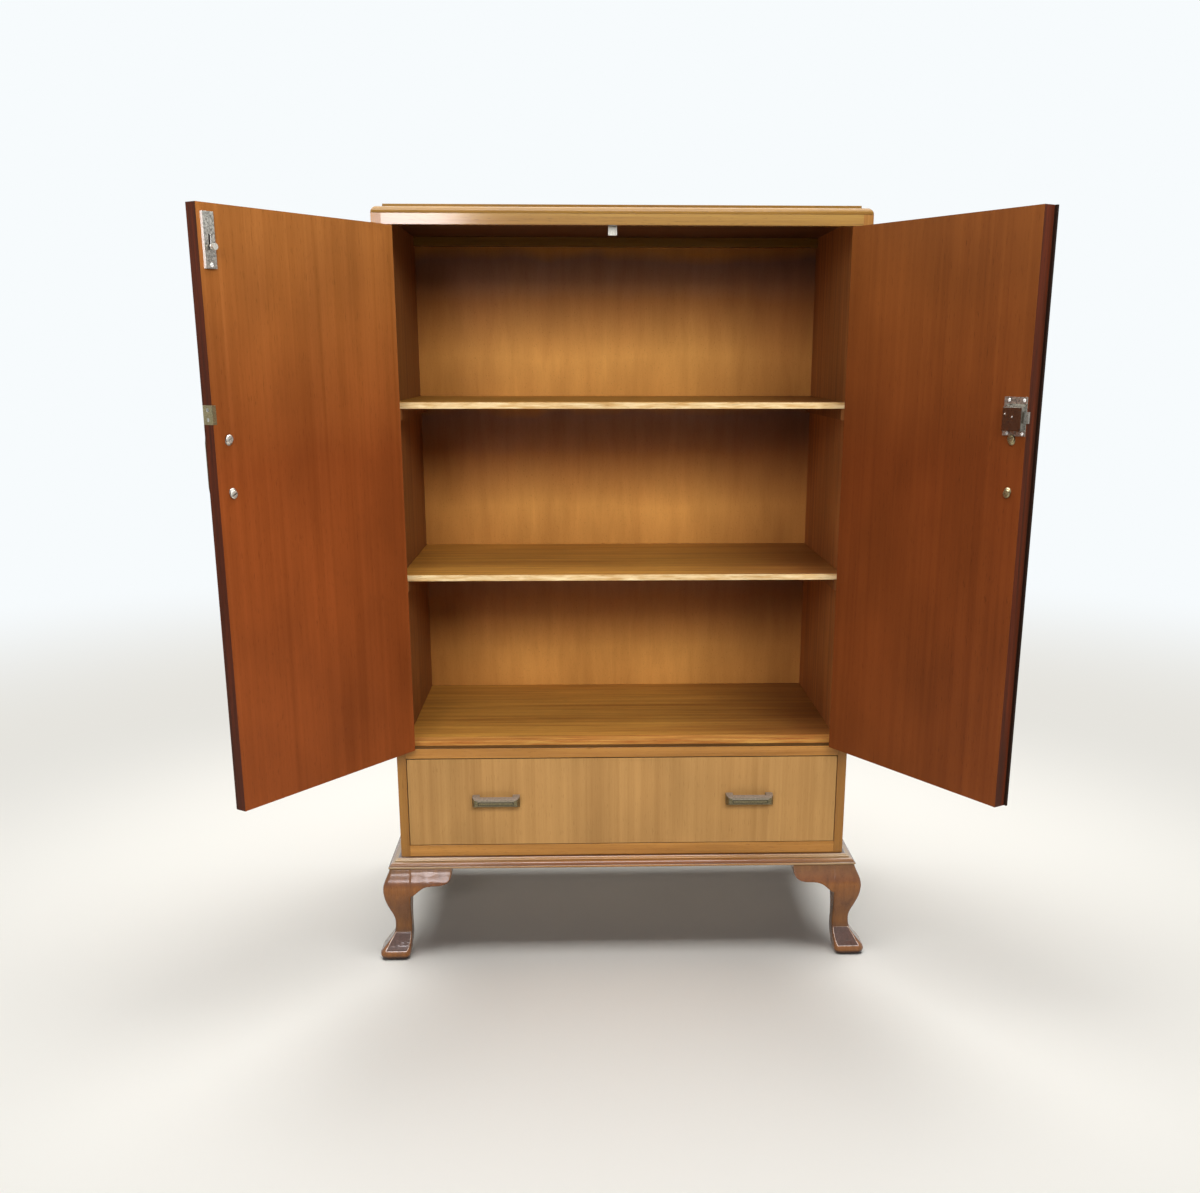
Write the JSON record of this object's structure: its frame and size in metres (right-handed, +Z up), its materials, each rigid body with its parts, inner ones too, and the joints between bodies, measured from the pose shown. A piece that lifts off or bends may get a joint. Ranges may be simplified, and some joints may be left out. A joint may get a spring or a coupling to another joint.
{
  "type": "linen cupboard",
  "caption": "Upright wooden linen cupboard on cabriole legs: hinged doors over fixed shelves, a full-width drawer, a sliding bolt and a rim lock.",
  "frame": {"origin": "on the floor, at the centre of the plinth's footprint", "axes": "+X to the right as seen from the front, +Y from the front to the back, +Z up"},
  "size_m": [1.1381, 0.7753, 1.2265],
  "materials": {
    "case_veneer": "polished brown veneer",
    "interior_wood": "worn varnish",
    "plywood": "light brown, varnished",
    "drawer_box_wood": "plain, unpolished",
    "drawer_veneer": "polished striped veneer",
    "door_veneer": "polished red-brown veneer",
    "moulding_wood": "polished red-brown wood",
    "nickel": "dull nickel plate",
    "steel": "dull steel",
    "hinge_brass": "aged brass",
    "bronzed_brass": "bronzed, worn"
  },
  "bodies": {
    "case": {"left_side_panel": "case_veneer", "right_side_panel": "case_veneer", "top_board": "case_veneer", "top_front_rail": "case_veneer", "top_back_rail": "interior_wood", "back_panel": "plywood", "cupboard_floor": "interior_wood", "floor_front_lipping": "interior_wood", "door_rail": "case_veneer", "bottom_rail": "case_veneer", "bottom_board": "plywood", "left_drawer_runner": "drawer_box_wood", "right_drawer_runner": "drawer_box_wood", "drawer_stops": "drawer_box_wood", "plinth_front_moulding": "moulding_wood", "plinth_left_moulding": "moulding_wood", "plinth_right_moulding": "moulding_wood", "plinth_back_rail": "moulding_wood", "front_left_leg": "moulding_wood", "front_right_leg": "moulding_wood", "rear_left_leg": "moulding_wood", "rear_right_leg": "moulding_wood", "front_leg_brackets": "moulding_wood", "side_leg_brackets": "moulding_wood", "leg_dowels": "moulding_wood", "upper_shelf": "interior_wood", "lower_shelf": "interior_wood", "shelf_bearers": "interior_wood", "bolt_keep": "nickel", "left_hinge_case_leaves": "hinge_brass", "left_hinge_pins": "steel", "right_hinge_case_leaves": "hinge_brass", "right_hinge_pins": "steel", "case_screws": "steel"},
    "left_door": {"left_door_panel": "door_veneer", "left_hinge_door_leaves": "hinge_brass", "left_door_pull": "bronzed_brass", "left_door_pull_screws": "nickel", "bolt_plate": "nickel", "strike_plate": "nickel", "left_door_screws": "nickel"},
    "door_bolt": {"door_bolt": "nickel"},
    "right_door": {"right_door_panel": "door_veneer", "closing_strip": "door_veneer", "right_hinge_door_leaves": "hinge_brass", "right_door_pull": "bronzed_brass", "right_door_pull_screws": "hinge_brass", "lock_back_plate": "nickel", "lock_cover": "bronzed_brass", "right_door_screws": "steel", "keyhole_escutcheon": "hinge_brass"},
    "lock_bolt": {"lock_bolt": "nickel"},
    "drawer": {"drawer_front": "drawer_veneer", "drawer_left_side": "drawer_box_wood", "drawer_right_side": "drawer_box_wood", "drawer_back": "drawer_box_wood", "drawer_bottom": "plywood", "drawer_left_pull": "bronzed_brass", "drawer_right_pull": "bronzed_brass", "drawer_pull_screws": "steel"}
  },
  "joints": [
    {"name": "left_door_hinge", "type": "hinge", "parent": "case", "child": "left_door", "pos_m": [-0.36525, -0.20375, 0.783], "axis": [0, 0, 1], "range_deg": [-55.2, 124.8]},
    {"name": "right_door_hinge", "type": "hinge", "parent": "case", "child": "right_door", "pos_m": [0.36525, -0.20375, 0.783], "axis": [0, 0, -1], "range_deg": [-59.3, 120.7]},
    {"name": "drawer_slide", "type": "slide", "parent": "case", "child": "drawer", "axis": [0, -1, 0], "range_m": [0, 0.3]},
    {"name": "bolt_slide", "type": "slide", "parent": "left_door", "child": "door_bolt", "axis": [0, 0, 1], "range_m": [0, 0.014]},
    {"name": "lock_bolt_slide", "type": "slide", "parent": "right_door", "child": "lock_bolt", "axis": [0.5105, -0.8599, 0], "range_m": [-0.007, 0.003]}
  ]
}
